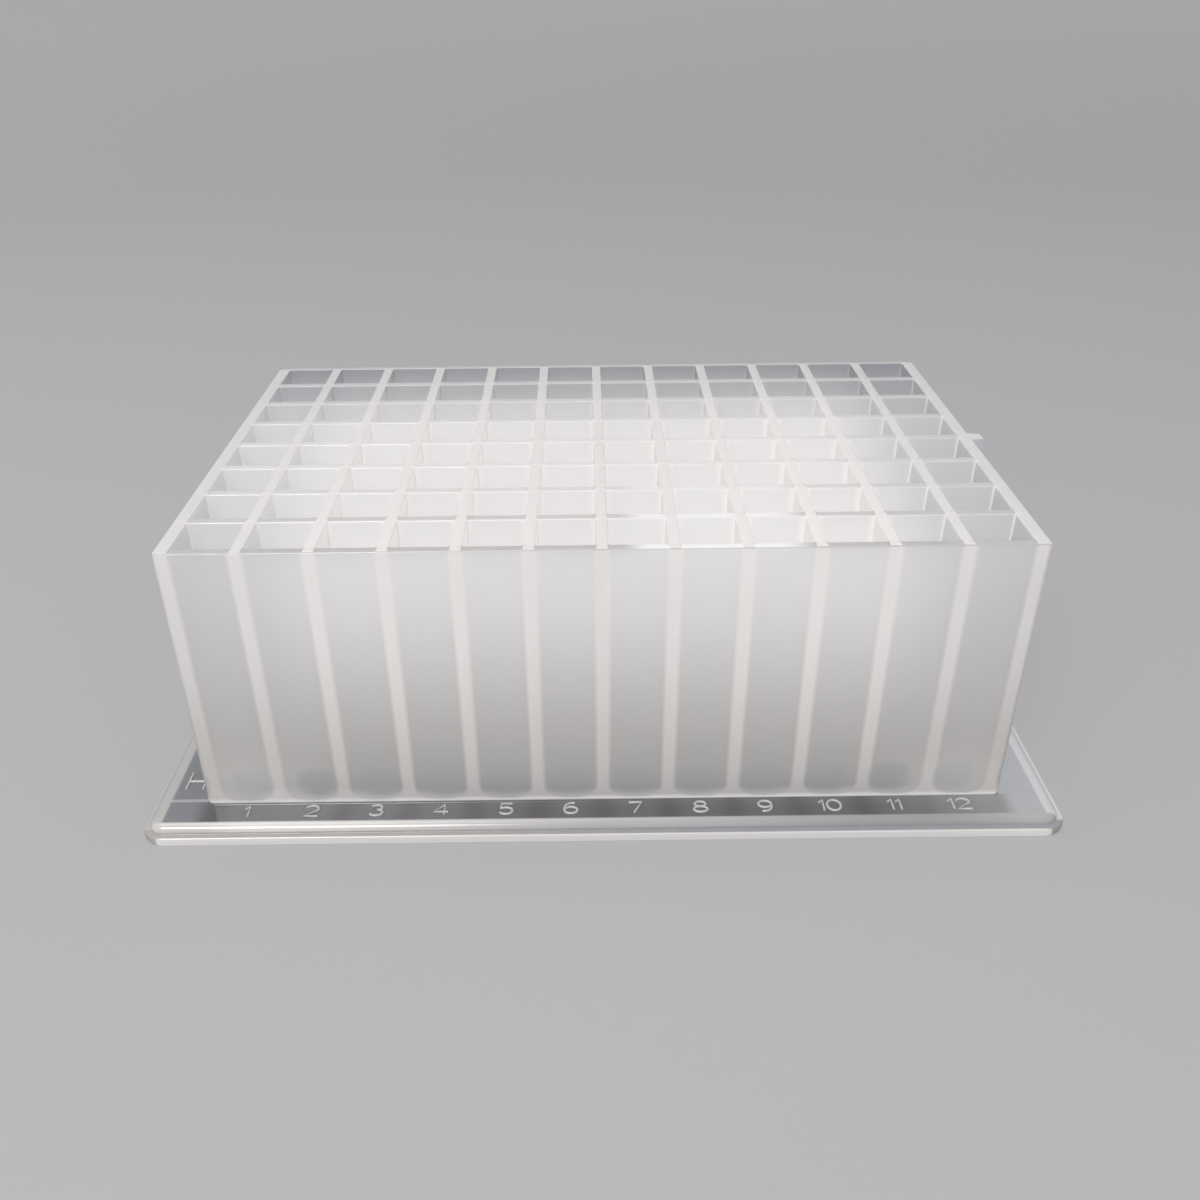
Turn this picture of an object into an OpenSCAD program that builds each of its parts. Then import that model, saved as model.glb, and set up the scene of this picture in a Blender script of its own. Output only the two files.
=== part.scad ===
// Deep well plate with square, round-bottomed wells, moulded in one piece.
// The block of wells stands on a low foot whose shelf carries the grid marks
// and whose outer lip drops into a standard plate nest.
// Origin: middle of the footprint, on the plane the plate stands on.
// +X runs along the row of column numbers, +Y towards the back, +Z up.

/* [Wells] */
// Number of wells along X
columns = 12; // [2:1:16]
// Number of wells along Y
rows = 8; // [2:1:12]
// Distance between neighbouring wells, both ways
pitch = 9; // [8:0.1:12]
// Thickness of the walls between wells at the top
well_wall = 1.5; // [1:0.05:2.5]
// Lean of each well wall, so that the core pulls out
well_draft = 0.25; // [0:0.05:0.6]
// Radius along the four edges of a well floor
floor_r = 2.8; // [1:0.1:3.5]
// Radius of the four upright corners of a well
corner_r = 0.3; // [0.2:0.1:1.6]

/* [Block] */
// Height of the whole plate
total_h = 41.3; // [15:0.1:60]
// Thickness of the two end walls, which face along X, at the top
end_wall = 1.85; // [1:0.05:3]
// Thickness of the two long walls, which face along Y, at the top
long_wall = 1.35; // [1:0.05:3]
// Radius of the upright outer corners of the block at its top
block_r = 0.6; // [0.2:0.1:1.2]
// Lean of the block's outer walls, so that it leaves the mould
wall_draft = 0.6; // [0:0.1:1.5]

/* [Well floors] */
// Height of the well floors above the plane the plate stands on
floor_lift = 3.4; // [2.8:0.1:6]
// Thickness of a well floor
floor_t = 1.2; // [0.8:0.1:2]

/* [Foot] */
// How far the foot stands out past the top of each end wall
end_ledge = 8.7; // [7:0.1:12]
// How far the foot stands out past the top of each long wall
long_ledge = 6.05; // [5:0.05:10]
// Radius of the foot's corners
foot_r = 3.2; // [2.6:0.1:5]
// Height of the shelf that carries the marks
shelf_h = 2.6; // [2.2:0.1:4]
// Thickness of the shelf
shelf_t = 1.2; // [0.8:0.1:1.6]
// Height of the outer lip
lip_h = 1.3; // [0.8:0.1:1.8]
// How far the lip stands out past the shoulder above it
lip_out = 0.9; // [0.4:0.1:1.2]
// Radius of the shoulder between the shelf and the lip
shoulder_r = 1.2; // [0.3:0.1:1.3]
// Thickness of the foot's rim under the shoulder
rim_t = 1.7; // [1:0.1:2.2]

/* [Underside] */
// Thickness of the webs that tie the block's corners to the rim
web_t = 1; // [0.6:0.1:2]
// Gap between the webs and the plane the plate stands on
web_lift = 0.4; // [0.2:0.1:0.8]

/* [Key] */
// How far the key in the middle of the right-hand end wall stands out
key_out = 1.9; // [1:0.1:3]
// Length of the key along the wall
key_l = 2.9; // [1.5:0.1:6]
// Height of the key, down from the top of the block
key_h = 7; // [4:0.5:12]

/* [Hidden] */
// How far a cut runs past the face that it opens
past = 1;
// How far one form reaches into the form that carries it
bite = 0.2;
$fn = 48;

mouth = pitch - well_wall;
block_l = (columns - 1) * pitch + mouth + 2 * end_wall;
block_w = (rows - 1) * pitch + mouth + 2 * long_wall;
foot_l = block_l + 2 * end_ledge;
foot_w = block_w + 2 * long_ledge;

well_depth = total_h - floor_lift;
floor_w = mouth - 2 * well_depth * tan(well_draft);
floor_edge = min(floor_r, 0.48 * floor_w);
// Below this height the well floors are rounded and stand clear of each other
core_z = floor_lift + floor_edge;
shoulder = min(shoulder_r, shelf_h - lip_h);
shoulder_x = foot_r - lip_out;
// How far each outer wall of the block leans out by the height of the webs
flare = (total_h - web_lift) * tan(wall_draft);

// Centres of a row of count things, spread about the middle
function centres(count) = [for (i = [0 : count - 1]) (i - (count - 1) / 2) * pitch];

// Upright slot with leaning sides and two rounded bottom edges, standing on y = 0
module slot_profile(bottom_w, height, lean, edge) {
    run_out = height * tan(lean);
    arc_x = bottom_w / 2 - edge * (1 - sin(lean)) / cos(lean);
    side = [arc_x + edge * cos(lean), edge * (1 - sin(lean))];
    polygon([
        [-arc_x, 0], [arc_x, 0], side, [bottom_w / 2 + run_out, height],
        [-bottom_w / 2 - run_out, height], [-side[0], side[1]]
    ]);
    for (s = [-1, 1]) translate([s * arc_x, edge]) circle(edge);
}

module rounded_rectangle(length, width, radius) {
    square([length - 2 * radius, width], center = true);
    square([length, width - 2 * radius], center = true);
    for (x = [-1, 1], y = [-1, 1])
        translate([x * (length / 2 - radius), y * (width / 2 - radius)]) circle(radius);
}

// A run of upright slots side by side along X, each as long as the block along Y
module slots_along_x(bottom_w, height, lean, edge) {
    rotate([90, 0, 0]) linear_extrude(block_w - 2 * bite, center = true)
        for (x = centres(columns)) translate([x, 0]) slot_profile(bottom_w, height, lean, edge);
}

// The same side by side along Y
module slots_along_y(bottom_w, height, lean, edge) {
    rotate([90, 0, 90]) linear_extrude(block_l - 2 * bite, center = true)
        for (y = centres(rows)) translate([y, 0]) slot_profile(bottom_w, height, lean, edge);
}

// Every well at once: where the two runs of slots cross, inside a grid of
// mouths whose corners are rounded
module wells() {
    translate([0, 0, floor_lift]) intersection() {
        slots_along_x(floor_w, well_depth + past, well_draft, floor_edge);
        slots_along_y(floor_w, well_depth + past, well_draft, floor_edge);
        translate([0, 0, -bite]) linear_extrude(well_depth + past + 2 * bite)
            for (x = centres(columns), y = centres(rows))
                translate([x, y]) rounded_rectangle(mouth, mouth, corner_r);
    }
}

// The rounded floors as they show from below, one floor thickness outside the
// wells, and joined to each other where they meet
module well_floors() {
    outer_w = floor_w + 2 * floor_t;
    height = core_z + bite - floor_lift + floor_t;
    translate([0, 0, floor_lift - floor_t]) intersection() {
        slots_along_x(outer_w, height, 0, floor_edge + floor_t);
        slots_along_y(outer_w, height, 0, floor_edge + floor_t);
    }
}

// Upright section through the block, as wide as given at the top and wider below
module leaning_section(top_w) {
    polygon([
        [-top_w / 2 - flare, web_lift], [top_w / 2 + flare, web_lift],
        [top_w / 2, total_h], [-top_w / 2, total_h]
    ]);
}

// The block's outer form, down to the webs: a leaning section run each way, and a
// quarter of a cone at each corner
module block_form() {
    straight_x = block_l - 2 * block_r;
    straight_y = block_w - 2 * block_r;
    rotate([90, 0, 0]) linear_extrude(straight_y, center = true) leaning_section(block_l);
    rotate([90, 0, 90]) linear_extrude(straight_x, center = true) leaning_section(block_w);
    for (x = [0, 1], y = [0, 1])
        mirror([x, 0, 0]) mirror([0, y, 0]) translate([straight_x / 2, straight_y / 2, 0])
            rotate_extrude(angle = 90)
                polygon([[0, web_lift], [block_r + flare, web_lift], [block_r, total_h], [0, total_h]]);
}

// Solid block above the rounded floors, and its outer wall carried down
// through the shelf as a skirt around them
module block() {
    difference() {
        block_form();
        under_block();
    }
}

// Room between the skirt's four sides, up to the solid block
module under_block() {
    translate([0, 0, -past]) linear_extrude(core_z + past)
        square([block_l - 2 * end_wall, block_w - 2 * long_wall], center = true);
}

// Section through the edge of the foot, out from the centre of a corner:
// shelf, rounded shoulder and lip
module foot_profile() {
    square([foot_r, lip_h]);
    square([shoulder_x - shoulder, shelf_h]);
    square([shoulder_x, shelf_h - shoulder]);
    intersection() {
        translate([shoulder_x - shoulder, shelf_h - shoulder]) circle(shoulder);
        square([shoulder_x, shelf_h]);
    }
}

// The section run along four straight sides and around four corners
module foot_body() {
    straight_x = foot_l - 2 * foot_r;
    straight_y = foot_w - 2 * foot_r;
    translate([0, 0, shelf_h / 2]) cube([straight_x, straight_y, shelf_h], center = true);
    for (s = [0, 1]) {
        mirror([0, s, 0]) translate([0, straight_y / 2, 0]) rotate([90, 0, 90])
            linear_extrude(straight_x, center = true) foot_profile();
        mirror([s, 0, 0]) translate([straight_x / 2, 0, 0]) rotate([90, 0, 0])
            linear_extrude(straight_y, center = true) foot_profile();
    }
    for (x = [0, 1], y = [0, 1])
        mirror([x, 0, 0]) mirror([0, y, 0]) translate([straight_x / 2, straight_y / 2, 0])
            rotate_extrude(angle = 90) foot_profile();
}

// Room under the shelf, between the rim and the block, and under the floors
module foot_hollow() {
    inset = lip_out + rim_t;
    inner_r = max(foot_r - inset, 0.3);
    translate([0, 0, -past]) linear_extrude(shelf_h - shelf_t + past)
        rounded_rectangle(foot_l - 2 * inset, foot_w - 2 * inset, inner_r);
    under_block();
}

// Webs under the shelf in line with the block's four walls
module foot_webs() {
    reach_x = end_ledge - lip_out - rim_t + 2 * bite;
    reach_y = long_ledge - lip_out - rim_t + 2 * bite;
    web_h = shelf_h - shelf_t - web_lift + bite;
    for (x = [0, 1], y = [0, 1]) mirror([x, 0, 0]) mirror([0, y, 0]) {
        translate([block_l / 2 - bite, block_w / 2 - block_r - web_t, web_lift])
            cube([reach_x, web_t, web_h]);
        translate([block_l / 2 - block_r - web_t, block_w / 2 - bite, web_lift])
            cube([web_t, reach_y, web_h]);
    }
}

// Small key at the top of the right-hand end wall, which tells the plate's two
// ends apart. Its underside slopes back to the wall.
module key() {
    translate([block_l / 2, 0, total_h]) rotate([90, 0, 0]) linear_extrude(key_l, center = true)
        polygon([
            [-bite, -key_h], [0, -key_h], [key_out, key_out - key_h], [key_out, 0], [-bite, 0]
        ]);
}

module plate() {
    color([0.90, 0.91, 0.92]) difference() {
        union() {
            difference() {
                foot_body();
                foot_hollow();
            }
            block();
            well_floors();
            foot_webs();
            key();
        }
        wells();
    }
}

plate();
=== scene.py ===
# Deep well plate with 96 square wells, moulded in one piece of natural polypropylene.
# Built in the order in which the plate goes together: wells, floors, block and foot,
# key, then the raised marks on the shelf. Lengths are in millimetres until a piece is
# finished, and its mesh is then brought to metres.
import math

import bmesh
import bpy
from mathutils import Matrix, Vector


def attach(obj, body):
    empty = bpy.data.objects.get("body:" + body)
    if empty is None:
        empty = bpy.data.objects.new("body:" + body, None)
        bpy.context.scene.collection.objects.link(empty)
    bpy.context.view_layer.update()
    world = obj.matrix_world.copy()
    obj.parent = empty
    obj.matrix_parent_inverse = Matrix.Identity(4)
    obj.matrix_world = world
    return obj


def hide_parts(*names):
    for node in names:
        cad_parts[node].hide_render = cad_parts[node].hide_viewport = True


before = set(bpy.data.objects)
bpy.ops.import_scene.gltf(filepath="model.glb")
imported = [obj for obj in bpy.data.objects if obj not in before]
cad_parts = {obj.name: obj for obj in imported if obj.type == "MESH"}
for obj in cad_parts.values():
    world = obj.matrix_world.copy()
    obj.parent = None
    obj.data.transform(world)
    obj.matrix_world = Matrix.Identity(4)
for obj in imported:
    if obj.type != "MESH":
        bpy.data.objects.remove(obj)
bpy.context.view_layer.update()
scene = bpy.context.scene
scene.view_settings.view_transform = "Standard"

# ---- Camera
# It stands in front of the long side, a little above the plate, and looks down on it, rolled
# by less than a degree about its own axis.
camera_place = Vector((-0.0016, -0.1633, 0.1033))
look_down = math.radians(33.58)
turn_right = math.radians(0.01)
roll = math.radians(-0.65)
ahead_x = math.sin(turn_right) * math.cos(look_down)
ahead_y = math.cos(turn_right) * math.cos(look_down)
ahead = Vector((ahead_x, ahead_y, -math.sin(look_down)))
level = Vector((math.cos(turn_right), -math.sin(turn_right), 0.0))
upward = level.cross(ahead)
camera_x = level * math.cos(roll) + upward * math.sin(roll)
camera_y = upward * math.cos(roll) - level * math.sin(roll)
camera_data = bpy.data.cameras.new("camera")
camera_data.sensor_width = 36.0
camera_data.lens = 34.42
camera_data.shift_x = 0.0076
camera_data.shift_y = 0.084
camera_data.clip_start = 0.01
camera_data.clip_end = 20.0
camera = bpy.data.objects.new("camera", camera_data)
turn = Matrix((camera_x, camera_y, -ahead)).transposed().to_4x4()
camera.matrix_world = Matrix.Translation(camera_place) @ turn
scene.collection.objects.link(camera)
scene.camera = camera

# ---- Wells
# Each well is a drafted square pocket with a slightly broken mouth edge and a rounded
# bottom, formed by a polished core. One of them is built, from the middle of its walls
# inwards, and Geometry Nodes set it out 12 by 8.
columns = 12
rows = 8
pitch_mm = 9.0
top_z = 41.3
floor_z = 3.4
mouth_half = 3.75
corner_centre = 3.45
draft = math.tan(math.radians(0.25))
bottom_radius = 2.8
bottom_steps = 6
mouth_edge = 0.1


def rounded_square(half, radius, z):
    """24 points round a square with round corners, starting on the right-hand side."""
    points = []
    for quarter in range(4):
        turned = Matrix.Rotation(math.radians(90 * quarter), 3, "Z")
        for step in range(5):
            angle = math.radians(22.5 * step)
            x = half - radius + radius * math.cos(angle)
            y = half - radius + radius * math.sin(angle)
            points.append(turned @ Vector((x, y, z)))
        points.append(turned @ Vector((0.0, half, z)))
    return points


def cell_border(z):
    """The same 24 points thrown out onto the square that the cell shares with its neighbours."""
    reach = pitch_mm / 2 - corner_centre
    points = []
    for quarter in range(4):
        turned = Matrix.Rotation(math.radians(90 * quarter), 3, "Z")
        for step in range(5):
            slope = math.tan(math.radians(22.5 * min(step, 4 - step)))
            near = corner_centre + reach * slope
            x, y = (pitch_mm / 2, near) if step <= 2 else (near, pitch_mm / 2)
            points.append(turned @ Vector((x, y, z)))
        points.append(turned @ Vector((0.0, pitch_mm / 2, z)))
    return points


def form_of_rings(name, rings):
    """An object skinned over closed rings of equal length, the last of them filled."""
    mesh = bpy.data.meshes.new(name)
    bm = bmesh.new()
    made = [[bm.verts.new(point) for point in ring] for ring in rings]
    for a, b in zip(made, made[1:]):
        for i in range(len(a)):
            j = (i + 1) % len(a)
            bm.faces.new((a[i], a[j], b[j], b[i]))
    bm.faces.new(made[-1])
    bm.to_mesh(mesh)
    bm.free()
    form_object = bpy.data.objects.new(name, mesh)
    scene.collection.objects.link(form_object)
    return form_object


well_rings = [cell_border(top_z)]
for step in range(3):
    angle = math.radians(45 * step)
    half = mouth_half + mouth_edge * (1 - math.sin(angle))
    z = top_z - mouth_edge * (1 - math.cos(angle))
    well_rings.append(rounded_square(half, half - corner_centre, z))
well_floor_half = mouth_half - (top_z - floor_z) * draft
wall_ring_heights = (30.0, 18.0, floor_z + bottom_radius)
for z in wall_ring_heights:
    half = mouth_half - (top_z - z) * draft
    well_rings.append(rounded_square(half, half - corner_centre, z))
corner_at_wall = well_floor_half - corner_centre
for step in range(1, bottom_steps + 1):
    angle = math.radians(90 * step / bottom_steps)
    half = well_floor_half - bottom_radius * (1 - math.cos(angle))
    z = floor_z + bottom_radius * (1 - math.sin(angle))
    radius = corner_at_wall + (half - corner_at_wall) * step / bottom_steps
    well_rings.append(rounded_square(half, radius, z))
one_well = form_of_rings("one_well", well_rings)

# ---- Well floors from below
# Under the plate every well shows as a rounded cushion, one floor thickness outside the
# pocket above it. The cushions meet in shallow grooves, which the shelf's skirt surrounds.
floor_thickness = 1.2
cushion_radius = bottom_radius + floor_thickness
cushion_flat = well_floor_half - bottom_radius


def cushion_z(half):
    """Height of the cushion's skin at this distance from its middle."""
    out = max(0.0, half - cushion_flat)
    return floor_z - floor_thickness + cushion_radius - math.sqrt(cushion_radius**2 - out**2)


# Half size and corner radius of each ring of the cushion, from its border inwards.
cushion_steps = [(4.1, 1.1), (3.6, 1.35), (3.0, 1.45), (2.3, 1.4), (1.5, 1.2)]
cushion_steps.append((cushion_flat, cushion_flat))
floor_rings = [cell_border(cushion_z(pitch_mm / 2))]
for half, radius in cushion_steps:
    floor_rings.append(rounded_square(half, radius, cushion_z(half)))
one_floor = form_of_rings("one_floor", floor_rings)

# The grid that carries both: a point per well, a copy of the form on each point, and the
# copies fused along the sides that they share.
polypropylene = bpy.data.materials.new("natural_polypropylene")
grid = bpy.data.node_groups.new("well_grid", "GeometryNodeTree")
grid.interface.new_socket("Geometry", in_out="INPUT", socket_type="NodeSocketGeometry")
form_in = grid.interface.new_socket("Form", in_out="INPUT", socket_type="NodeSocketObject")
columns_in = grid.interface.new_socket("Columns", in_out="INPUT", socket_type="NodeSocketInt")
rows_in = grid.interface.new_socket("Rows", in_out="INPUT", socket_type="NodeSocketInt")
pitch_in = grid.interface.new_socket("Pitch", in_out="INPUT", socket_type="NodeSocketFloat")
finish_in = grid.interface.new_socket("Finish", in_out="INPUT", socket_type="NodeSocketMaterial")
grid.interface.new_socket("Geometry", in_out="OUTPUT", socket_type="NodeSocketGeometry")
given = grid.nodes.new("NodeGroupInput")
points = grid.nodes.new("GeometryNodeMeshGrid")
form = grid.nodes.new("GeometryNodeObjectInfo")
copies = grid.nodes.new("GeometryNodeInstanceOnPoints")
real = grid.nodes.new("GeometryNodeRealizeInstances")
fused = grid.nodes.new("GeometryNodeMergeByDistance")
finish = grid.nodes.new("GeometryNodeSetMaterial")
result = grid.nodes.new("NodeGroupOutput")
fused.inputs["Distance"].default_value = 0.01
for count, side in (("Columns", "X"), ("Rows", "Y")):
    gaps = grid.nodes.new("ShaderNodeMath")
    gaps.operation = "SUBTRACT"
    gaps.inputs[1].default_value = 1.0
    span = grid.nodes.new("ShaderNodeMath")
    span.operation = "MULTIPLY"
    grid.links.new(given.outputs[count], gaps.inputs[0])
    grid.links.new(gaps.outputs[0], span.inputs[0])
    grid.links.new(given.outputs["Pitch"], span.inputs[1])
    grid.links.new(span.outputs[0], points.inputs["Size " + side])
    grid.links.new(given.outputs[count], points.inputs["Vertices " + side])
grid.links.new(given.outputs["Form"], form.inputs["Object"])
grid.links.new(points.outputs["Mesh"], copies.inputs["Points"])
grid.links.new(form.outputs["Geometry"], copies.inputs["Instance"])
grid.links.new(copies.outputs["Instances"], real.inputs["Geometry"])
grid.links.new(real.outputs["Geometry"], fused.inputs["Geometry"])
grid.links.new(fused.outputs["Geometry"], finish.inputs["Geometry"])
grid.links.new(given.outputs["Finish"], finish.inputs["Material"])
grid.links.new(finish.outputs["Geometry"], result.inputs["Geometry"])


def set_out(name, form_object):
    """The form on every point of the grid, as a plain mesh."""
    carrier = bpy.data.objects.new(name, bpy.data.meshes.new(name))
    scene.collection.objects.link(carrier)
    modifier = carrier.modifiers.new("grid", "NODES")
    modifier.node_group = grid
    modifier[form_in.identifier] = form_object
    modifier[columns_in.identifier] = columns
    modifier[rows_in.identifier] = rows
    modifier[pitch_in.identifier] = pitch_mm
    modifier[finish_in.identifier] = polypropylene
    depsgraph = bpy.context.evaluated_depsgraph_get()
    mesh = bpy.data.meshes.new_from_object(carrier.evaluated_get(depsgraph))
    bpy.data.objects.remove(carrier)
    bpy.data.objects.remove(form_object)
    return mesh


wells_mesh = set_out("wells", one_well)
floors_mesh = set_out("floors", one_floor)

# ---- Block and foot
# The outer skin of the moulding, from the rim of the wells down the block's upright walls,
# out over the shelf, round the foot's shoulder and lip, and back under the shelf to a
# skirt that hides the well floors. Webs under the shelf tie the block's corners to the rim.
block_x = 55.1
block_y = 36.6
block_radius = 0.6
rim_edge = 0.15
wall_lean = math.tan(math.radians(0.6))
wall_fillet = 0.25
foot_x = 63.8
foot_y = 42.65
foot_radius = 3.2
shelf_z = 2.6
shelf_thickness = 1.2
shoulder_radius = 1.2
lip_z = 1.3
lip_out = 0.9
rim_inset = 2.6
skirt_x = 53.25
skirt_y = 35.25
skirt_z = 0.4
web_width = 1.0
wells_x = columns * pitch_mm / 2
wells_y = rows * pitch_mm / 2
rim_x = foot_x - rim_inset
rim_y = foot_y - rim_inset


def side_lines(count):
    """Where the grid's own points lie along one side of the block."""
    corner_end = corner_centre + (pitch_mm / 2 - corner_centre) * math.tan(math.radians(22.5))
    lines = set()
    for i in range(count):
        middle = (i - (count - 1) / 2) * pitch_mm
        for offset in (-corner_end, -corner_centre, 0.0, corner_centre, corner_end):
            lines.add(round(middle + offset, 5))
        if i:
            lines.add(round(middle - pitch_mm / 2, 5))
    return sorted(lines)


lines_x = side_lines(columns)
lines_y = side_lines(rows)
corner_steps = 6


def side_points(half, block_half, lines, webs):
    """The loop's points along one side: its end, the web's two edges, and the grid's lines."""
    web_out, web_in = half, half
    if webs:
        web_out = min(block_half - block_radius, half)
        web_in = min(block_half - block_radius - web_width, half)
    between = [max(-web_in, min(web_in, line)) for line in lines]
    return [-half, -web_out, -web_in] + between + [web_in, web_out, half]


def skin_loop(half_x, half_y, radius, z, webs=False):
    """One level turn round the block or the foot, anticlockwise from the front left."""
    end_x = half_x - radius
    end_y = half_y - radius
    along_x = side_points(end_x, block_x, lines_x, webs)
    along_y = side_points(end_y, block_y, lines_y, webs)
    arcs = []
    for quarter, (sx, sy) in enumerate(((1, -1), (1, 1), (-1, 1), (-1, -1))):
        arc = []
        for step in range(1, corner_steps):
            angle = math.radians(90 * (quarter - 1) + 90 * step / corner_steps)
            x = sx * end_x + radius * math.cos(angle)
            y = sy * end_y + radius * math.sin(angle)
            arc.append(Vector((x, y, z)))
        arcs.append(arc)
    turn_round = [Vector((x, -half_y, z)) for x in along_x] + arcs[0]
    turn_round += [Vector((half_x, y, z)) for y in along_y] + arcs[1]
    turn_round += [Vector((-x, half_y, z)) for x in along_x] + arcs[2]
    turn_round += [Vector((-half_x, -y, z)) for y in along_y] + arcs[3]
    return turn_round


def wall_level(z, past=0.0):
    """Half sizes, corner radius and height of the block's leaning outer wall."""
    out = (top_z - z) * wall_lean + past
    return (block_x + out, block_y + out, block_radius + out, z)


def foot_level(out, z):
    """The same for the foot's outer edge, so far outside its largest outline."""
    return (foot_x + out, foot_y + out, foot_radius + out, z)


# The skin's levels, from the edge of the wells outwards, down and in again underneath.
levels = [(wells_x, wells_y, 0.0, top_z)]
for step in range(3):
    angle = math.radians(45 * step)
    z = top_z - rim_edge * (1 - math.cos(angle))
    levels.append(wall_level(z, -rim_edge * (1 - math.sin(angle))))
key_level = len(levels)
key_foot_z = 34.3
middle_z = 18.0
levels.append(wall_level(key_foot_z))
levels.append(wall_level(middle_z))
for step in range(4):
    angle = math.radians(30 * step)
    z = shelf_z + wall_fillet * (1 - math.sin(angle))
    levels.append(wall_level(z, wall_fillet * (1 - math.cos(angle))))
for step in range(6):
    angle = math.radians(18 * step)
    out = shoulder_radius * math.sin(angle) - shoulder_radius - lip_out
    levels.append(foot_level(out, shelf_z - shoulder_radius * (1 - math.cos(angle))))
for out, up in ((-0.86, 0.02), (-0.78, 0.0), (-0.2, 0.0), (-0.06, -0.06), (0.0, -0.2)):
    levels.append(foot_level(out, lip_z + up))
for out, z in ((0.0, 0.16), (-0.05, 0.05), (-0.16, 0.0), (0.1 - rim_inset, 0.0), (-rim_inset, 0.1)):
    levels.append(foot_level(out, z))
plain_levels = len(levels)
under_shelf_z = shelf_z - shelf_thickness
rim = (rim_x, rim_y, foot_radius - rim_inset)
levels.append((*rim, skirt_z))
levels.append((*rim, under_shelf_z))
levels.append(wall_level(under_shelf_z))
levels.append(wall_level(skirt_z))
levels.append((skirt_x, skirt_y, 0.0, skirt_z))
loops = [skin_loop(*level, webs=i >= plain_levels) for i, level in enumerate(levels)]

plate_bm = bmesh.new()
plate_bm.from_mesh(wells_mesh)
skin = [[plate_bm.verts.new(point) for point in loop] for loop in loops]
around = len(skin[0])
count_x = len(side_points(block_x, block_x, lines_x, False))
count_y = len(side_points(block_y, block_y, lines_y, False))
middle_right = count_x + corner_steps - 1 + count_y // 2
# The skin stays open behind the key, and under the shelf where the webs stand.
key_columns = range(middle_right - 2, middle_right + 2)
web_columns = set()
start = 0
for count in (count_x, count_y, count_x, count_y):
    web_columns.add(start + 1)
    web_columns.add(start + count - 3)
    start += count + corner_steps - 1
for k in range(len(skin) - 1):
    for i in range(around):
        if i in key_columns and 1 <= k < key_level:
            continue
        if i in web_columns and plain_levels <= k < plain_levels + 3:
            continue
        j = (i + 1) % around
        plate_bm.faces.new((skin[k][i], skin[k + 1][i], skin[k + 1][j], skin[k][j]))
rim_low, rim_high, skirt_high, skirt_low = skin[plain_levels : plain_levels + 4]
for i in web_columns:
    for j in (i, i + 1):
        plate_bm.faces.new((rim_low[j], rim_high[j], skirt_high[j], skirt_low[j]))
    plate_bm.faces.new((rim_low[i], rim_low[i + 1], skirt_low[i + 1], skirt_low[i]))

# ---- Key
# A small block at the top of the right-hand end wall tells the plate's two ends apart. It
# is flush with the top and its underside slopes back to the wall, so that it leaves the
# mould straight.
key_profile = ((1.65, 0.0), (1.83, -0.07), (1.9, -0.25), (1.9, -5.1), (1.8, -5.3))
key_draw_in = 0.93
key_lines = range(middle_right - 2, middle_right + 3)
key_skin = []
for out, down in key_profile:
    row = []
    for i in key_lines:
        y = loops[1][i].y * key_draw_in
        row.append(plate_bm.verts.new((block_x + out, y, top_z + down)))
    key_skin.append(row)
wall_rows = [[level[i] for i in key_lines] for level in skin[1 : key_level + 1]]
band = [wall_rows[0]] + key_skin + [wall_rows[-1]]
last = len(key_lines) - 1
for a, b in zip(band, band[1:]):
    for i in range(last):
        plate_bm.faces.new((a[i], b[i], b[i + 1], a[i + 1]))
for i in (0, last):
    plate_bm.faces.new([row[i] for row in wall_rows] + [row[i] for row in reversed(key_skin)])

# ---- Underside
# The floors' cushions are trimmed to the room inside the skirt and joined to it, which
# closes the moulding into one skin.
between_skirt_and_floors = 1.5
floor_bm = bmesh.new()
floor_bm.from_mesh(floors_mesh)
for x, y in ((1, 0), (-1, 0), (0, 1), (0, -1)):
    everything = floor_bm.verts[:] + floor_bm.edges[:] + floor_bm.faces[:]
    bmesh.ops.bisect_plane(
        floor_bm,
        geom=everything,
        dist=0.0001,
        plane_co=(x * skirt_x, y * skirt_y, 0.0),
        plane_no=(x, y, 0.0),
        clear_outer=True,
    )
floor_bm.to_mesh(floors_mesh)
floor_bm.free()
plate_bm.from_mesh(floors_mesh)
bmesh.ops.remove_doubles(plate_bm, verts=plate_bm.verts[:], dist=0.004)
for axis, reach in ((0, skirt_x), (0, -skirt_x), (1, skirt_y), (1, -skirt_y)):
    other = 1 - axis
    edge_verts = set()
    for edge in plate_bm.edges:
        if edge.is_boundary and all(abs(v.co[axis] - reach) < 0.002 for v in edge.verts):
            edge_verts.update(edge.verts)
    in_order = sorted(edge_verts, key=lambda v: v.co[other])
    high = [v for v in in_order if v.co.z > between_skirt_and_floors]
    low = [v for v in in_order if v.co.z < between_skirt_and_floors]
    plate_bm.faces.new(high + low[::-1])
bmesh.ops.recalc_face_normals(plate_bm, faces=plate_bm.faces[:])
open_edges = sum(1 for edge in plate_bm.edges if not edge.is_manifold)
print("plate: edges that are not closed:", open_edges)
sharp_from = math.radians(50)
for face in plate_bm.faces:
    face.smooth = True
for edge in plate_bm.edges:
    edge.smooth = edge.calc_face_angle(0.0) < sharp_from
to_metres = Matrix.Scale(0.001, 4)
plate_bm.transform(to_metres)
plate_mesh = bpy.data.meshes.new("plate_moulding")
plate_bm.to_mesh(plate_mesh)
plate_bm.free()
plate = bpy.data.objects.new("plate_moulding", plate_mesh)
scene.collection.objects.link(plate)
plate_mesh.materials.clear()
plate_mesh.materials.append(polypropylene)
weighted = plate.modifiers.new("even_faces", "WEIGHTED_NORMAL")
weighted.keep_sharp = True
weighted.weight = 80
depsgraph = bpy.context.evaluated_depsgraph_get()
finished = bpy.data.meshes.new_from_object(plate.evaluated_get(depsgraph))
plate.modifiers.clear()
plate.data = finished
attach(plate, "root")
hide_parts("plate")

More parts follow.
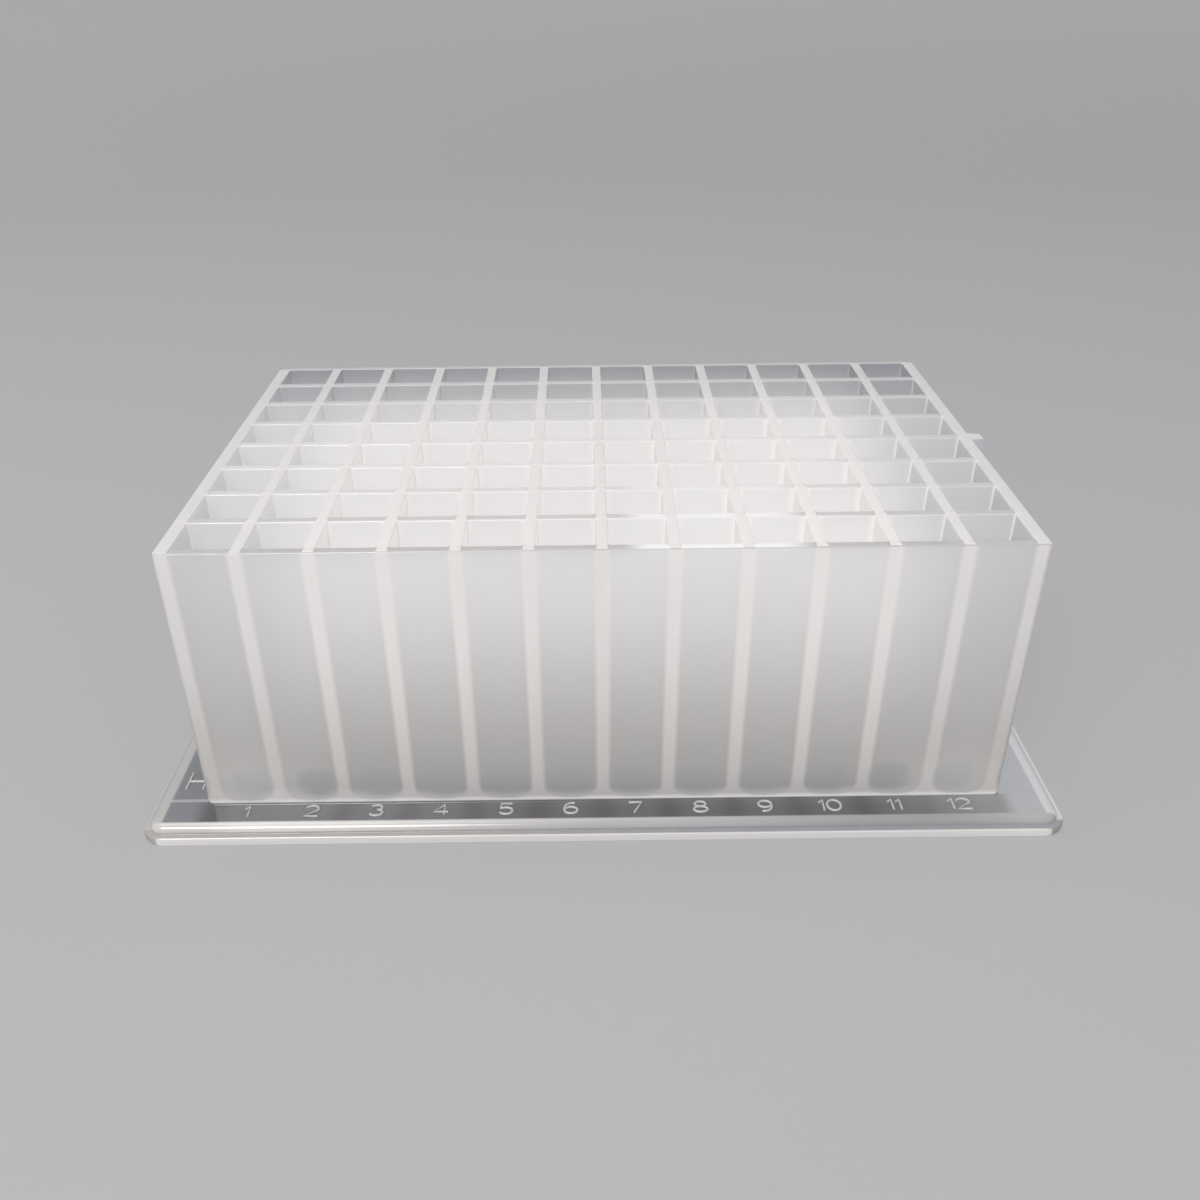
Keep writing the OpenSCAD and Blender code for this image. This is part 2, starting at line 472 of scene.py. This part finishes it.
# ---- Finish of the plastic
# Natural polypropylene without pigment: a faintly glossy skin round a milky body that
# lets light through. Its colour is laid out by place and carries painted light and shade:
# thick places such as the walls seen end on are painted lighter and warmer, and the thin
# shelf and the well floors are painted greyer and cooler.
natural_ior = 1.49
polypropylene.use_nodes = True
nodes = polypropylene.node_tree.nodes
links = polypropylene.node_tree.links
surface = nodes["Principled BSDF"]
output = nodes["Material Output"]
where = nodes.new("ShaderNodeTexCoord")
in_mm = nodes.new("ShaderNodeVectorMath")
in_mm.operation = "SCALE"
in_mm.inputs["Scale"].default_value = 1000.0
axes = nodes.new("ShaderNodeSeparateXYZ")
links.new(where.outputs["Object"], in_mm.inputs[0])
links.new(in_mm.outputs[0], axes.inputs["Vector"])


def reckon(operation, first, second=None):
    """A Math node on sockets or plain numbers."""
    node = nodes.new("ShaderNodeMath")
    node.operation = operation
    for slot, value in enumerate((first, second)):
        if isinstance(value, bpy.types.NodeSocket):
            links.new(value, node.inputs[slot])
        elif value is not None:
            node.inputs[slot].default_value = value
    return node.outputs[0]


def fade(value, start, stop):
    """0 at start and 1 at stop, with a soft passage between them."""
    node = nodes.new("ShaderNodeMapRange")
    node.interpolation_type = "SMOOTHSTEP"
    links.new(value, node.inputs["Value"])
    node.inputs["From Min"].default_value = start
    node.inputs["From Max"].default_value = stop
    return node.outputs["Result"]


def both(first, second):
    """Where two masks hold at once."""
    return reckon("MULTIPLY", first, second)


def blend(amount, first, second):
    """A colour on its way from the first to the second."""
    node = nodes.new("ShaderNodeMix")
    node.data_type = "RGBA"
    links.new(amount, node.inputs["Factor"])
    for slot, value in ((6, first), (7, second)):
        if isinstance(value, bpy.types.NodeSocket):
            links.new(value, node.inputs[slot])
        else:
            node.inputs[slot].default_value = (*value, 1.0)
    return node.outputs[2]


def tongue(off_rib, half, top, foot):
    """How far out from the middle of a panel, 1 at its edge: straight sides, round below."""
    across = reckon("DIVIDE", reckon("SUBTRACT", pitch_mm / 2, off_rib), half)
    below = reckon("DIVIDE", reckon("SUBTRACT", top, height), top - foot)
    below = reckon("MAXIMUM", below, 0.0)
    cubes = reckon("ADD", reckon("POWER", across, 3.0), reckon("POWER", below, 3.0))
    return reckon("POWER", cubes, 1 / 3)


def domed(off_rib):
    """Height, counted higher towards the two sides of a panel, so that a limit on it is a dome."""
    across = reckon("DIVIDE", reckon("SUBTRACT", pitch_mm / 2, off_rib), 3.1)
    return reckon("ADD", height, reckon("MULTIPLY", reckon("POWER", across, 4.0), 1.5))


along = axes.outputs["X"]
depth = axes.outputs["Y"]
height = axes.outputs["Z"]
side_x = reckon("ABSOLUTE", along)
side_y = reckon("ABSOLUTE", depth)
off_rib_x = reckon("PINGPONG", along, pitch_mm / 2)
off_rib_y = reckon("PINGPONG", depth, pitch_mm / 2)
rightwards = fade(along, -20.0, 20.0)
on_end = fade(side_x, block_x - 0.2, block_x - 0.1)
on_long = fade(side_y, block_y - 0.2, block_y - 0.1)
# Painted light and shade: the ribs are painted lighter between the panels, the panels are
# painted darker downwards to the rounded floors, and lighter again low down near the ends.
# The shade in the floors is painted on as dark pools, a little closer together because they
# lie behind the wall.
upwards = fade(height, 3.0, 42.0)
panel_shape = {"half": 3.7, "top": 6.0, "foot": 3.3}
panel_x = both(fade(tongue(off_rib_x, **panel_shape), 1.08, 0.88), on_long)
panel_y = both(fade(tongue(off_rib_y, **panel_shape), 1.08, 0.88), on_end)
panel = reckon("MAXIMUM", panel_x, panel_y)
closer = 1.02
floor_shade_shape = {"half": 3.1, "top": 7.0, "foot": 3.7}
inner_x = reckon("PINGPONG", reckon("MULTIPLY", along, closer), pitch_mm / 2)
inner_y = reckon("PINGPONG", reckon("MULTIPLY", depth, closer), pitch_mm / 2)
floor_shade_x = both(fade(tongue(inner_x, **floor_shade_shape), 1.12, 0.6), on_long)
floor_shade_y = both(fade(tongue(inner_y, **floor_shade_shape), 1.12, 0.6), on_end)
floor_shade = both(floor_shade_x, fade(domed(inner_x), 9.2, 7.8))
floor_shade = reckon("MAXIMUM", floor_shade, both(floor_shade_y, fade(domed(inner_y), 9.2, 7.8)))
low_ends = both(fade(side_x, 36.0, 50.0), fade(height, 14.0, 4.0))
rib_tone = blend(fade(height, 3.0, 32.0), (0.625, 0.596, 0.577), (0.84, 0.812, 0.802))
rib_tone = blend(low_ends, rib_tone, (0.725, 0.69, 0.667))
# Painted light: a pale band along the foot of the walls; painted shade: the fillet below it.
rib_tone = blend(fade(height, shelf_z + 1.3, shelf_z + 0.6), rib_tone, (0.97, 0.94, 0.915))
rib_tone = blend(fade(height, shelf_z + 0.45, shelf_z + 0.32), rib_tone, (0.42, 0.405, 0.4))
panel_tone = blend(upwards, (0.41, 0.4, 0.392), (0.75, 0.745, 0.745))
end_panel_tone = blend(upwards, (0.515, 0.497, 0.482), (0.65, 0.645, 0.655))
panel_tone = blend(fade(side_x, 30.0, 56.0), panel_tone, end_panel_tone)
panel_tone = blend(low_ends, panel_tone, (0.6, 0.578, 0.56))
# Painted light: the bottom of each panel, below the pools, is lighter again.
low_panel = fade(height, shelf_z + 2.6, shelf_z + 1.0)
panel_tone = blend(low_panel, panel_tone, (0.6, 0.58, 0.565))
tone = blend(panel, rib_tone, panel_tone)
floor_shade_tone = blend(fade(side_x, 38.0, 49.0), (0.398, 0.399, 0.407), (0.52, 0.517, 0.523))
tone = blend(floor_shade, tone, floor_shade_tone)
# Inside, painted light makes the walls glow, most of all next to the column walls, and painted
# shade dims them at the two ends and towards row A.
wall_half = pitch_mm / 2 - mouth_half
between_ends = fade(side_x, wells_x + 0.2, wells_x)
in_wells = both(between_ends, fade(side_y, wells_y + 0.2, wells_y))
on_wall = both(fade(height, top_z - 0.02, top_z - 0.12), in_wells)
on_floor = both(fade(height, floor_z + 3.2, floor_z + 2.0), in_wells)
near, nearer = wall_half + 0.35, wall_half + 0.15
by_corner = both(fade(off_rib_x, near, nearer), fade(off_rib_y, near, nearer))
corner_tone = blend(fade(along, 5.0, 30.0), (0.835, 0.82, 0.817), (0.88, 0.865, 0.86))
into_middle = fade(off_rib_x, wall_half, wall_half + 1.15)
wall_tone = blend(into_middle, corner_tone, (0.785, 0.777, 0.778))
end_wall_tone = blend(rightwards, (0.735, 0.733, 0.74), (0.67, 0.67, 0.68))
end_wall_tone = blend(fade(depth, -24.0, -32.0), end_wall_tone, (0.68, 0.68, 0.69))
wall_tone = blend(fade(side_x, 35.0, 50.0), wall_tone, end_wall_tone)
wall_tone = blend(fade(side_x, wells_x - 0.2, wells_x - 0.05), wall_tone, (0.58, 0.59, 0.605))
wall_tone = blend(by_corner, wall_tone, (0.89, 0.88, 0.875))
dusk = both(fade(depth, 7.0, 42.0), fade(height, 33.0, 42.0))
wall_tone = blend(dusk, wall_tone, (0.33, 0.345, 0.372))
# The tops of the walls carry painted light and shade: lighter along the column walls, darker on the
# row walls towards the back, and darker still on the back rim and the long outer edges.
across_top = fade(off_rib_x, wall_half - 0.2, wall_half + 0.25)
across_top = both(across_top, fade(side_x, wells_x, wells_x - 0.4))
in_near_rows = both(fade(depth, 12.0, 3.0), fade(along, 40.0, 28.0))
row_top_tone = blend(in_near_rows, (0.75, 0.742, 0.738), (0.85, 0.835, 0.828))
top_tone = blend(across_top, (0.925, 0.9, 0.893), row_top_tone)
back_rim = fade(depth, wells_y - 0.9, wells_y - 0.4)
top_tone = blend(back_rim, top_tone, (0.66, 0.645, 0.64))
long_edge = fade(side_y, block_y - 0.3, block_y - rim_edge)
top_tone = blend(long_edge, top_tone, (0.55, 0.54, 0.53))
tone = blend(fade(height, top_z - 0.2, top_z - 0.02), tone, top_tone)
tone = blend(on_wall, tone, wall_tone)
# Painted shade darkens the tops of the row walls the nearer they are to the front, and a
# painted highlight lies on them in one place.
past_cell = reckon("MODULO", reckon("ADD", depth, (rows + 1) * pitch_mm / 2), pitch_mm)
from_wall = reckon("SUBTRACT", past_cell, pitch_mm / 2)
front_edge = fade(from_wall, 0.2 - wall_half, 0.35 - wall_half)
across_wall = both(front_edge, fade(from_wall, wall_half + 0.2, wall_half + 0.13))
near_wall = both(across_wall, fade(depth, -7.0, -38.0))
between_ribs = fade(off_rib_x, wall_half - 0.15, wall_half + 0.05)
near_wall = both(near_wall, both(fade(height, top_z - 0.15, top_z - 0.1), between_ribs))
near_wall = both(near_wall, between_ends)
glint = both(fade(along, 2.0, 6.0), fade(along, 27.0, 22.0))
dark_top = blend(fade(side_x, 40.0, 48.0), (0.57, 0.555, 0.545), (0.63, 0.62, 0.615))
tone = blend(near_wall, tone, blend(glint, dark_top, (1.0, 1.0, 1.0)))
# Painted shade: the well floors are darker and cooler.
tone = blend(on_floor, tone, (0.6, 0.62, 0.65))
# The foot's rim and the key, which stand clear of the block.
past_ends = fade(side_x, block_x + 0.9, block_x + 1.2)
on_rim = reckon("MAXIMUM", past_ends, fade(side_y, block_y + 0.8, block_y + 1.1))
# Painted highlight along the shoulder: bright on the left part, fading darker towards the right.
rim_tone = blend(fade(along, -58.0, -48.0), (0.78, 0.745, 0.72), (0.97, 0.93, 0.9))
rim_tone = blend(fade(along, -48.0, 5.0), rim_tone, (0.62, 0.605, 0.6))
rim_tone = blend(fade(along, 5.0, 45.0), rim_tone, (0.45, 0.44, 0.45))
rim_tone = blend(fade(along, 46.0, 58.0), rim_tone, (0.52, 0.515, 0.52))
# Painted highlight on the lip.
on_lip = fade(height, lip_z + 0.15, lip_z)
rim_tone = blend(on_lip, rim_tone, (1.0, 0.975, 0.95))
# Painted shade: a dark line just above the lip.
on_ledge = fade(height, lip_z + 0.4, lip_z + 0.15)
on_ledge = both(on_ledge, fade(side_y, foot_y - 0.05, foot_y - 0.2))
ledge_tone = blend(fade(along, -40.0, 20.0), (0.52, 0.497, 0.478), (0.415, 0.415, 0.445))
rim_tone = blend(on_ledge, rim_tone, ledge_tone)
# Painted light: the rim's ends are lighter on the right than on the left.
at_end = both(fade(side_x, rim_x - 0.6, rim_x - 0.1), fade(side_y, rim_y + 0.85, rim_y + 0.45))
end_rim_tone = blend(rightwards, (0.62, 0.62, 0.61), (0.78, 0.78, 0.79))
rim_tone = blend(at_end, rim_tone, end_rim_tone)
tone = blend(both(on_rim, fade(height, shelf_z + 0.6, shelf_z + 0.4)), tone, rim_tone)
# Painted shade on the key's face below its top.
on_key = both(fade(side_x, block_x + 0.2, block_x + 0.4), fade(height, 30.0, 31.0))
under_key_top = fade(height, top_z - 0.1, top_z - 0.2)
tone = blend(both(on_key, under_key_top), tone, (0.55, 0.57, 0.6))
# The shelf is thin. Painted shade makes it darkest right in front of the long walls, where
# the block's shadow falls, and its ends are greyer, painted darker on the left than on the
# right. The webs under it and the stretches near the first and last numbers are painted lighter.
over_hollow = fade(side_x, rim_x - 0.1, rim_x - 0.6)
over_hollow = both(over_hollow, fade(side_y, rim_y + 0.75, rim_y + 0.5))
on_shelf = both(fade(height, shelf_z + 0.35, shelf_z + 0.2), over_hollow)
end_tone = blend(rightwards, (0.285, 0.292, 0.31), (0.52, 0.53, 0.545))
over_web = fade(side_y, block_y - 1.1, block_y - 0.8)
over_web = both(over_web, fade(side_y, block_y - 0.2, block_y - 0.5))
end_tone = blend(over_web, end_tone, (0.52, 0.52, 0.53))
by_long_wall = fade(side_x, block_x + 2.4, block_x - 0.1)
by_long_wall = both(by_long_wall, fade(side_y, block_y - 0.3, block_y - 0.1))
strip_tone = blend(fade(off_rib_x, 0.0, 3.0), (0.15, 0.147, 0.155), (0.2, 0.197, 0.205))
by_first_marks = both(fade(along, -36.0, -41.0), fade(along, -52.0, -48.0))
strip_tone = blend(by_first_marks, strip_tone, (0.21, 0.208, 0.215))
strip_tone = blend(fade(along, 36.0, 56.0), strip_tone, (0.36, 0.358, 0.37))
shelf_tone = blend(by_long_wall, end_tone, strip_tone)
tone = blend(on_shelf, tone, shelf_tone)
links.new(tone, surface.inputs["Base Color"])
# The moulded skin is a little uneven: long soft waves with a fine grain on them.
waves = nodes.new("ShaderNodeTexNoise")
waves.inputs["Scale"].default_value = 0.3
waves.inputs["Detail"].default_value = 4.0
waves.inputs["Roughness"].default_value = 0.6
links.new(in_mm.outputs[0], waves.inputs["Vector"])
skin_relief = nodes.new("ShaderNodeBump")
skin_relief.inputs["Strength"].default_value = 0.5
skin_relief.inputs["Distance"].default_value = 0.00004
links.new(waves.outputs["Fac"], skin_relief.inputs["Height"])
links.new(skin_relief.outputs["Normal"], surface.inputs["Normal"])
links.new(skin_relief.outputs["Normal"], surface.inputs["Coat Normal"])
skin_roughness = nodes.new("ShaderNodeMapRange")
skin_roughness.inputs["To Min"].default_value = 0.1
skin_roughness.inputs["To Max"].default_value = 0.24
links.new(waves.outputs["Fac"], skin_roughness.inputs["Value"])
links.new(skin_roughness.outputs["Result"], surface.inputs["Roughness"])
surface.inputs["IOR"].default_value = natural_ior
surface.inputs["Transmission Weight"].default_value = 0.2
surface.inputs["Coat Weight"].default_value = 1.0
surface.inputs["Coat Roughness"].default_value = 0.15
milk = nodes.new("ShaderNodeBsdfTranslucent")
links.new(tone, milk.inputs["Color"])
body = nodes.new("ShaderNodeMixShader")
body.inputs["Fac"].default_value = 0.45
let_light_in = nodes.new("ShaderNodeLightPath")
passing = nodes.new("ShaderNodeBsdfTransparent")
passing.inputs["Color"].default_value = (0.95, 0.95, 0.95, 1.0)
skin_mix = nodes.new("ShaderNodeMixShader")
# The body is part glossy skin and part milk, and lets nearly all light pass on to a lamp.
links.new(surface.outputs["BSDF"], body.inputs[1])
links.new(milk.outputs["BSDF"], body.inputs[2])
links.new(let_light_in.outputs["Is Shadow Ray"], skin_mix.inputs["Fac"])
links.new(body.outputs["Shader"], skin_mix.inputs[1])
links.new(passing.outputs["BSDF"], skin_mix.inputs[2])
links.new(skin_mix.outputs["Shader"], output.inputs["Surface"])
scene.cycles.max_bounces = 10
scene.cycles.diffuse_bounces = 4
scene.cycles.glossy_bounces = 4
scene.cycles.transmission_bounces = 10
scene.cycles.transparent_max_bounces = 32

# ---- Marks
# Column numbers along the front of the shelf and row letters along its left side, raised
# thin round strokes cut into the mould by an engraver.
mark_stroke = 0.19
marks_z = shelf_z + 0.02
mark_gap = 0.4
slim_one = 0.72
numbers_y = -38.6
number_width = 1.9
number_height = 2.25
letters_x = -58.3
letter_width = 2.4
letter_height = 3.8


def bend(cx, cy, rx, ry, start, stop, steps):
    """Part of an ellipse as points, from one angle to another."""
    found = []
    for step in range(steps + 1):
        angle = math.radians(start + (stop - start) * step / steps)
        found.append((cx + rx * math.cos(angle), cy + ry * math.sin(angle)))
    return found


strokes = {
    "0": [bend(0.5, 0.5, 0.5, 0.5, 90, 450, 24)],
    "1": [[(0.0, 0.74), (0.85, 1.0), (0.85, 0.0)]],
    "2": [bend(0.5, 0.7, 0.46, 0.3, 165, -35, 12) + [(0.02, 0.0), (1.0, 0.0)]],
    "3": [bend(0.48, 0.77, 0.4, 0.23, 160, -80, 12) + bend(0.48, 0.28, 0.48, 0.28, 80, -155, 12)],
    "4": [[(0.74, 0.0), (0.74, 1.0), (0.0, 0.28), (1.0, 0.28)]],
    "5": [[(0.92, 1.0), (0.14, 1.0), (0.08, 0.56)] + bend(0.48, 0.32, 0.48, 0.32, 118, -150, 14)],
    "6": [bend(0.62, 0.5, 0.6, 0.5, 75, 180, 8) + bend(0.5, 0.31, 0.48, 0.31, 180, 540, 20)],
    "7": [[(0.0, 1.0), (0.98, 1.0), (0.36, 0.0)]],
    "8": [bend(0.5, 0.765, 0.4, 0.235, 270, 630, 20), bend(0.5, 0.265, 0.5, 0.265, 90, 450, 20)],
    "9": [bend(0.5, 0.69, 0.48, 0.31, 0, 360, 20) + bend(0.38, 0.5, 0.6, 0.5, 0, -105, 8)],
    "A": [[(0.0, 0.0), (0.5, 1.0), (1.0, 0.0)], [(0.18, 0.34), (0.82, 0.34)]],
    "B": [
        [(0.55, 0.54), (0.0, 0.54), (0.0, 1.0), (0.55, 1.0)]
        + bend(0.6, 0.77, 0.3, 0.23, 90, -90, 8)[1:],
        [(0.0, 0.54), (0.0, 0.0), (0.6, 0.0)]
        + bend(0.6, 0.27, 0.38, 0.27, -90, 90, 8)[1:]
        + [(0.5, 0.54)],
    ],
    "C": [bend(0.52, 0.5, 0.52, 0.5, 50, 310, 18)],
    "D": [
        [(0.0, 0.0), (0.0, 1.0), (0.45, 1.0)]
        + bend(0.45, 0.5, 0.53, 0.5, 90, -90, 14)[1:]
        + [(0.0, 0.0)]
    ],
    "E": [[(0.95, 1.0), (0.0, 1.0), (0.0, 0.0), (0.95, 0.0)], [(0.0, 0.52), (0.75, 0.52)]],
    "F": [[(0.95, 1.0), (0.0, 1.0), (0.0, 0.0)], [(0.0, 0.52), (0.75, 0.52)]],
    "G": [bend(0.52, 0.5, 0.52, 0.5, 50, 345, 18) + [(1.0, 0.46), (0.58, 0.46)]],
    "H": [[(0.0, 0.0), (0.0, 1.0)], [(1.0, 0.0), (1.0, 1.0)], [(0.0, 0.5), (1.0, 0.5)]],
}
mark_curve = bpy.data.curves.new("shelf_marks", "CURVE")
mark_curve.dimensions = "3D"
mark_curve.bevel_depth = mark_stroke
mark_curve.bevel_resolution = 2
mark_curve.use_fill_caps = True


def engrave(text, x, y, letter_wide, letter_tall):
    """Adds the strokes of a short text, centred on x and y."""
    widths = [slim_one if letter == "1" else letter_wide for letter in text]
    at = x - (sum(widths) + (len(text) - 1) * mark_gap) / 2
    for letter, width in zip(text, widths):
        for stroke in strokes[letter]:
            spline = mark_curve.splines.new("POLY")
            spline.points.add(len(stroke) - 1)
            for point, (u, v) in zip(spline.points, stroke):
                point.co = (at + u * width, y + (v - 0.5) * letter_tall, marks_z, 1.0)
        at += width + mark_gap


for i in range(columns):
    column_x = (i - (columns - 1) / 2) * pitch_mm
    engrave(str(i + 1), column_x, numbers_y, number_width, number_height)
for i in range(rows):
    row_y = ((rows - 1) / 2 - i) * pitch_mm
    engrave("ABCDEFGH"[i], letters_x, row_y, letter_width, letter_height)
mark_source = bpy.data.objects.new("mark_source", mark_curve)
scene.collection.objects.link(mark_source)
depsgraph = bpy.context.evaluated_depsgraph_get()
mark_mesh = bpy.data.meshes.new_from_object(mark_source.evaluated_get(depsgraph))
bpy.data.objects.remove(mark_source)
mark_mesh.transform(to_metres)
# The raised strokes are thicker and a little rougher than the shelf, and show lighter. The
# engraver's tool leaves a fine grain in them.
raised = bpy.data.materials.new("raised_polypropylene")
raised.use_nodes = True
raised_nodes = raised.node_tree.nodes
raised_links = raised.node_tree.links
raised_surface = raised_nodes["Principled BSDF"]
raised_where = raised_nodes.new("ShaderNodeTexCoord")
grain = raised_nodes.new("ShaderNodeTexNoise")
grain.inputs["Scale"].default_value = 2500.0
grain.inputs["Detail"].default_value = 3.0
grain_tone = raised_nodes.new("ShaderNodeMix")
grain_tone.data_type = "RGBA"
grain_tone.inputs[6].default_value = (0.34, 0.332, 0.325, 1.0)
grain_tone.inputs[7].default_value = (0.4, 0.392, 0.385, 1.0)
grain_roughness = raised_nodes.new("ShaderNodeMapRange")
grain_roughness.inputs["To Min"].default_value = 0.25
grain_roughness.inputs["To Max"].default_value = 0.45
grain_relief = raised_nodes.new("ShaderNodeBump")
grain_relief.inputs["Strength"].default_value = 0.3
grain_relief.inputs["Distance"].default_value = 0.00002
raised_links.new(raised_where.outputs["Object"], grain.inputs["Vector"])
raised_links.new(grain.outputs["Fac"], grain_tone.inputs["Factor"])
raised_links.new(grain.outputs["Fac"], grain_roughness.inputs["Value"])
raised_links.new(grain.outputs["Fac"], grain_relief.inputs["Height"])
raised_links.new(grain_tone.outputs[2], raised_surface.inputs["Base Color"])
raised_links.new(grain_roughness.outputs["Result"], raised_surface.inputs["Roughness"])
raised_links.new(grain_relief.outputs["Normal"], raised_surface.inputs["Normal"])
raised_surface.inputs["IOR"].default_value = natural_ior
mark_mesh.materials.clear()
mark_mesh.materials.append(raised)
for polygon in mark_mesh.polygons:
    polygon.use_smooth = True
marks = bpy.data.objects.new("shelf_marks", mark_mesh)
scene.collection.objects.link(marks)
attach(marks, "root")

# ---- Floor, backdrop and lamps
# A plain pale paper sheet lies under the plate, lighter further out, and curves up behind
# it. Two soft boxes and a white room light it. Its sizes are in metres.
table_half = 7.0
bend_y = 3.2
bend_radius = 0.8
backdrop_z = 3.5
bend_steps = 12
table_mesh = bpy.data.meshes.new("table")
bm = bmesh.new()
table_profile = [(-table_half, 0.0), (bend_y, 0.0)]
for step in range(1, bend_steps + 1):
    angle = math.radians(90 * step / bend_steps)
    rise = bend_radius * (1 - math.cos(angle))
    table_profile.append((bend_y + bend_radius * math.sin(angle), rise))
table_profile.append((bend_y + bend_radius, backdrop_z))
edges = [[bm.verts.new((x, y, z)) for y, z in table_profile] for x in (-table_half, table_half)]
for i in range(len(table_profile) - 1):
    face = bm.faces.new((edges[0][i], edges[1][i], edges[1][i + 1], edges[0][i + 1]))
    face.smooth = True
bm.to_mesh(table_mesh)
bm.free()
table = bpy.data.objects.new("table", table_mesh)
scene.collection.objects.link(table)
paper = bpy.data.materials.new("pale_paper")
paper.use_nodes = True
paper_nodes = paper.node_tree.nodes
paper_links = paper.node_tree.links
paper_surface = paper_nodes["Principled BSDF"]
paper_where = paper_nodes.new("ShaderNodeTexCoord")
paper_reach = paper_nodes.new("ShaderNodeVectorMath")
paper_reach.operation = "LENGTH"
paper_fade = paper_nodes.new("ShaderNodeMapRange")
paper_fade.inputs["From Min"].default_value = 0.5
paper_fade.inputs["From Max"].default_value = 4.5
paper_tone = paper_nodes.new("ShaderNodeMix")
paper_tone.data_type = "RGBA"
paper_tone.inputs[6].default_value = (0.32, 0.32, 0.325, 1.0)
paper_tone.inputs[7].default_value = (0.72, 0.72, 0.725, 1.0)
paper_links.new(paper_where.outputs["Object"], paper_reach.inputs[0])
paper_links.new(paper_reach.outputs["Value"], paper_fade.inputs["Value"])
paper_links.new(paper_fade.outputs["Result"], paper_tone.inputs["Factor"])
paper_links.new(paper_tone.outputs[2], paper_surface.inputs["Base Color"])
paper_surface.inputs["Roughness"].default_value = 0.9
paper_surface.inputs["Specular IOR Level"].default_value = 0.0
table_mesh.materials.append(paper)


def soft_lamp(name, place, aim, width, height, watts):
    """A soft box lamp at a place, turned towards the aim."""
    data = bpy.data.lights.new(name, "AREA")
    data.shape = "RECTANGLE"
    data.size = width
    data.size_y = height
    data.energy = watts
    lamp = bpy.data.objects.new(name, data)
    lamp.location = place
    lamp.rotation_euler = (Vector(aim) - Vector(place)).to_track_quat("-Z", "Y").to_euler()
    scene.collection.objects.link(lamp)


soft_lamp("overhead", (-0.5, 0.35, 3.0), (0.0, 0.0, 0.0), 2.25, 1.7, 38.0)
soft_lamp("front_left", (-0.4, -0.9, 0.8), (0.0, 0.0, 0.02), 0.5, 0.4, 13.0)
world = bpy.data.worlds.new("studio")
scene.world = world
world.use_nodes = True
room_light = world.node_tree.nodes["Background"]
room_light.inputs["Color"].default_value = (1.0, 1.0, 1.0, 1.0)
room_light.inputs["Strength"].default_value = 0.6
